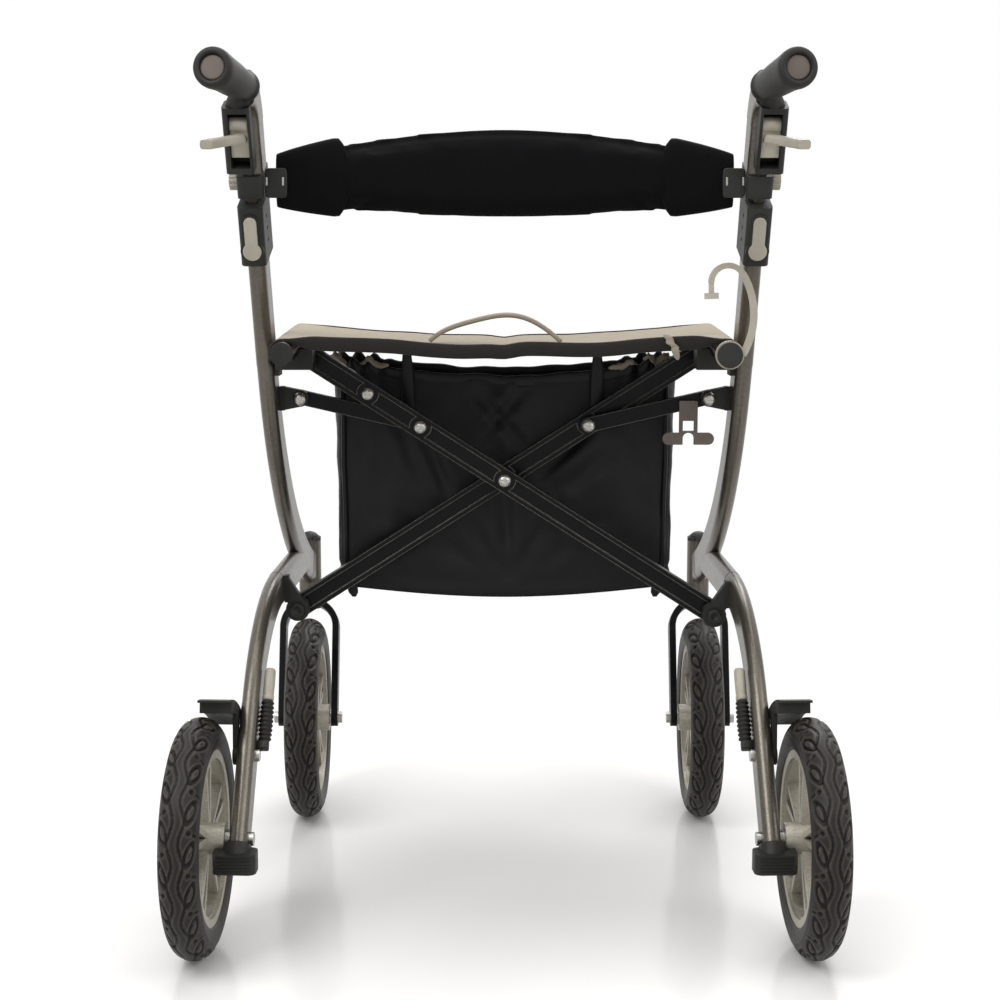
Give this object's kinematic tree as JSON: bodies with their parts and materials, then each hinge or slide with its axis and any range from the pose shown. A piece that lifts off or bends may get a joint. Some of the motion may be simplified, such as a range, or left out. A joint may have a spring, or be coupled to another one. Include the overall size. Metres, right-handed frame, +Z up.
{
  "type": "all terrain rollator",
  "caption": "Walking frame on large treaded wheels, with curved side frames that a scissor brace folds together, sliding handles with brakes, sling seat, back strap and bag.",
  "frame": {"origin": "on the floor, midway between the left and right wheels and the front and rear axles", "axes": "+X to the user's right, +Y forwards, away from the user, +Z up"},
  "size_m": [0.6596, 0.7098, 0.89],
  "materials": {
    "frame_paint": "metallic warm dark grey, satin gloss",
    "black_paint": "glossy black coat with pale worn edges",
    "black_plastic": "fine-grained moulded plastic",
    "pale_plastic": "light warm grey moulded plastic",
    "clip_plastic": "grey-brown moulded plastic",
    "steel": "plated fasteners",
    "rim_silver": "silver-grey moulded wheel finish",
    "tyre": "soft treaded rubber",
    "grip_rubber": "soft matt grip",
    "boot_rubber": "ribbed matt rubber",
    "seat_cloth": "beige woven cloth with a dark bound edge",
    "strap_cloth": "grey-beige webbing",
    "pad_cloth": "black foam-backed cloth",
    "bag_cloth": "black woven nylon"
  },
  "bodies": {
    "left_frame": {"left_post": "frame_paint", "left_leg": "frame_paint", "left_swivel_tube": "frame_paint", "left_frame_fittings": "black_plastic", "left_axle_and_pins": "steel", "left_height_clamp": "black_plastic", "left_brake_boot": "boot_rubber", "left_tip_pedal": "black_plastic"},
    "right_frame": {"right_post": "frame_paint", "right_leg": "frame_paint", "right_swivel_tube": "frame_paint", "right_frame_fittings": "black_plastic", "right_axle_and_pins": "steel", "right_height_clamp": "black_plastic", "right_brake_boot": "boot_rubber", "right_tip_pedal": "black_plastic"},
    "left_handle": {"left_handle_tube": "frame_paint", "left_lever_housing": "black_plastic", "left_grip": "grip_rubber", "left_grip_cap": "clip_plastic", "left_back_clamp": "black_plastic", "back_pad": "pad_cloth"},
    "right_handle": {"right_handle_tube": "frame_paint", "right_lever_housing": "black_plastic", "right_grip": "grip_rubber", "right_grip_cap": "clip_plastic", "right_back_clamp": "black_plastic"},
    "left_release_button": {"left_release_button": "pale_plastic"},
    "left_brake_lever": {"left_brake_lever": "pale_plastic"},
    "left_clamp_knob": {"left_clamp_knob": "pale_plastic"},
    "left_caster": {"left_fork": "black_paint", "left_front_axle": "steel"},
    "left_front_wheel": {"left_front_rim": "rim_silver", "left_front_tyre": "tyre"},
    "left_rear_wheel": {"left_rear_rim": "rim_silver", "left_rear_tyre": "tyre"},
    "left_brake_shoe": {"left_brake_shoe": "black_plastic"},
    "right_release_button": {"right_release_button": "pale_plastic"},
    "right_brake_lever": {"right_brake_lever": "pale_plastic"},
    "right_clamp_knob": {"right_clamp_knob": "pale_plastic"},
    "right_caster": {"right_fork": "black_paint", "right_front_axle": "steel"},
    "right_front_wheel": {"right_front_rim": "rim_silver", "right_front_tyre": "tyre"},
    "right_rear_wheel": {"right_rear_rim": "rim_silver", "right_rear_tyre": "tyre"},
    "right_brake_shoe": {"right_brake_shoe": "black_plastic"},
    "left_link": {"left_link": "black_paint"},
    "right_link": {"right_link": "black_paint", "snap_clip": "clip_plastic"},
    "cross_bar_a": {"cross_bar_a": "black_paint", "right_seat_plug": "black_plastic"},
    "cross_bar_b": {"cross_bar_b": "black_paint", "cross_bolts": "steel", "left_seat_plug": "black_plastic"},
    "sling": {"seat_sling": "seat_cloth", "pull_strap": "strap_cloth", "bag": "bag_cloth", "bag_hangers": "bag_cloth"},
    "fold_hook": {"fold_hook": "pale_plastic"}
  },
  "joints": [
    {"name": "fold", "type": "hinge", "parent": "left_frame", "child": "cross_bar_a", "pos_m": [-0.228, 0.036, 0.299], "axis": [0, -1, 0], "range_deg": [0, 43], "deforming": ["seat_sling", "pull_strap", "bag", "bag_hangers", "back_pad"]},
    {"name": "cross_pivot", "type": "hinge", "parent": "cross_bar_a", "child": "cross_bar_b", "pos_m": [0, 0.02, 0.4455], "axis": [0, -1, 0], "range_deg": [-86, 0]},
    {"name": "right_frame_pivot", "type": "hinge", "parent": "cross_bar_b", "child": "right_frame", "pos_m": [0.228, 0.004, 0.299], "axis": [0, -1, 0], "range_deg": [0, 43]},
    {"name": "sling_ride", "type": "hinge", "parent": "cross_bar_a", "child": "sling", "pos_m": [0, 0.02, 0.4455], "axis": [0, -1, 0], "range_deg": [-43, 0]},
    {"name": "left_link_pivot", "type": "hinge", "parent": "left_frame", "child": "left_link", "pos_m": [-0.2205, 0.02, 0.534], "axis": [0, -1, 0], "range_deg": [0, 89.18]},
    {"name": "right_link_pivot", "type": "hinge", "parent": "right_frame", "child": "right_link", "pos_m": [0.2205, 0.02, 0.534], "axis": [0, -1, 0], "range_deg": [-89.18, 0]},
    {"name": "left_handle_slide", "type": "slide", "parent": "left_frame", "child": "left_handle", "axis": [-0.0175, -0.3579, 0.9336], "range_m": [0, 0.11]},
    {"name": "left_button_press", "type": "slide", "parent": "left_frame", "child": "left_release_button", "axis": [0.0456, 0.9325, 0.3584], "range_m": [0, 0.0025], "stiffness_N_per_m": 600},
    {"name": "left_lever_squeeze", "type": "hinge", "parent": "left_handle", "child": "left_brake_lever", "pos_m": [-0.26174, -0.1488, 0.82123], "axis": [-0.9988, 0.0488, 0], "range_deg": [0, 14], "stiffness_Nm_per_rad": 1.2},
    {"name": "left_brake_press", "type": "hinge", "parent": "left_frame", "child": "left_brake_shoe", "pos_m": [-0.27256, -0.18377, 0.19119], "axis": [0.9988, -0.0488, 0], "range_deg": [0, 3.5]},
    {"name": "left_knob_turn", "type": "hinge", "parent": "left_handle", "child": "left_clamp_knob", "pos_m": [-0.27443, -0.09093, 0.76713], "axis": [-0.9988, 0.0488, 0], "range_deg": [0, 270]},
    {"name": "left_swivel", "type": "hinge", "parent": "left_frame", "child": "left_caster", "pos_m": [-0.238, 0.286, 0.29], "axis": [0, 0, 1], "continuous": true},
    {"name": "left_front_roll", "type": "hinge", "parent": "left_caster", "child": "left_front_wheel", "pos_m": [-0.238, 0.236, 0.12], "axis": [1, 0, 0], "continuous": true},
    {"name": "left_rear_roll", "type": "hinge", "parent": "left_frame", "child": "left_rear_wheel", "pos_m": [-0.30545, -0.23395, 0.12], "axis": [0.9988, -0.0488, 0], "continuous": true},
    {"name": "right_handle_slide", "type": "slide", "parent": "right_frame", "child": "right_handle", "axis": [0.0175, -0.3579, 0.9336], "range_m": [0, 0.11]},
    {"name": "right_button_press", "type": "slide", "parent": "right_frame", "child": "right_release_button", "axis": [-0.0456, 0.9325, 0.3584], "range_m": [0, 0.0025], "stiffness_N_per_m": 600},
    {"name": "right_lever_squeeze", "type": "hinge", "parent": "right_handle", "child": "right_brake_lever", "pos_m": [0.26174, -0.1488, 0.82123], "axis": [-0.9988, -0.0488, 0], "range_deg": [0, 14], "stiffness_Nm_per_rad": 1.2},
    {"name": "right_brake_press", "type": "hinge", "parent": "right_frame", "child": "right_brake_shoe", "pos_m": [0.27256, -0.18377, 0.19119], "axis": [0.9988, 0.0488, 0], "range_deg": [0, 3.5]},
    {"name": "right_knob_turn", "type": "hinge", "parent": "right_handle", "child": "right_clamp_knob", "pos_m": [0.27443, -0.09093, 0.76713], "axis": [-0.9988, -0.0488, 0], "range_deg": [0, 270]},
    {"name": "right_swivel", "type": "hinge", "parent": "right_frame", "child": "right_caster", "pos_m": [0.238, 0.286, 0.29], "axis": [0, 0, 1], "continuous": true},
    {"name": "right_front_roll", "type": "hinge", "parent": "right_caster", "child": "right_front_wheel", "pos_m": [0.238, 0.236, 0.12], "axis": [1, 0, 0], "continuous": true},
    {"name": "right_rear_roll", "type": "hinge", "parent": "right_frame", "child": "right_rear_wheel", "pos_m": [0.30545, -0.23395, 0.12], "axis": [0.9988, 0.0488, 0], "continuous": true},
    {"name": "hook_swing", "type": "hinge", "parent": "cross_bar_a", "child": "fold_hook", "pos_m": [0.228, -0.1215, 0.592], "axis": [0, -1, 0], "range_deg": [0, 90]}
  ],
  "couplings": [
    {"joint": "cross_pivot", "follows": "fold", "ratio": -2},
    {"joint": "right_frame_pivot", "follows": "fold", "ratio": 1},
    {"joint": "sling_ride", "follows": "fold", "ratio": -1},
    {"joint": "left_link_pivot", "follows": "fold", "ratio": 2.074},
    {"joint": "right_link_pivot", "follows": "fold", "ratio": -2.074},
    {"joint": "left_brake_press", "follows": "left_lever_squeeze", "ratio": 0.25},
    {"joint": "right_brake_press", "follows": "right_lever_squeeze", "ratio": 0.25},
    {"joint": "right_handle_slide", "follows": "left_handle_slide", "ratio": 1}
  ]
}
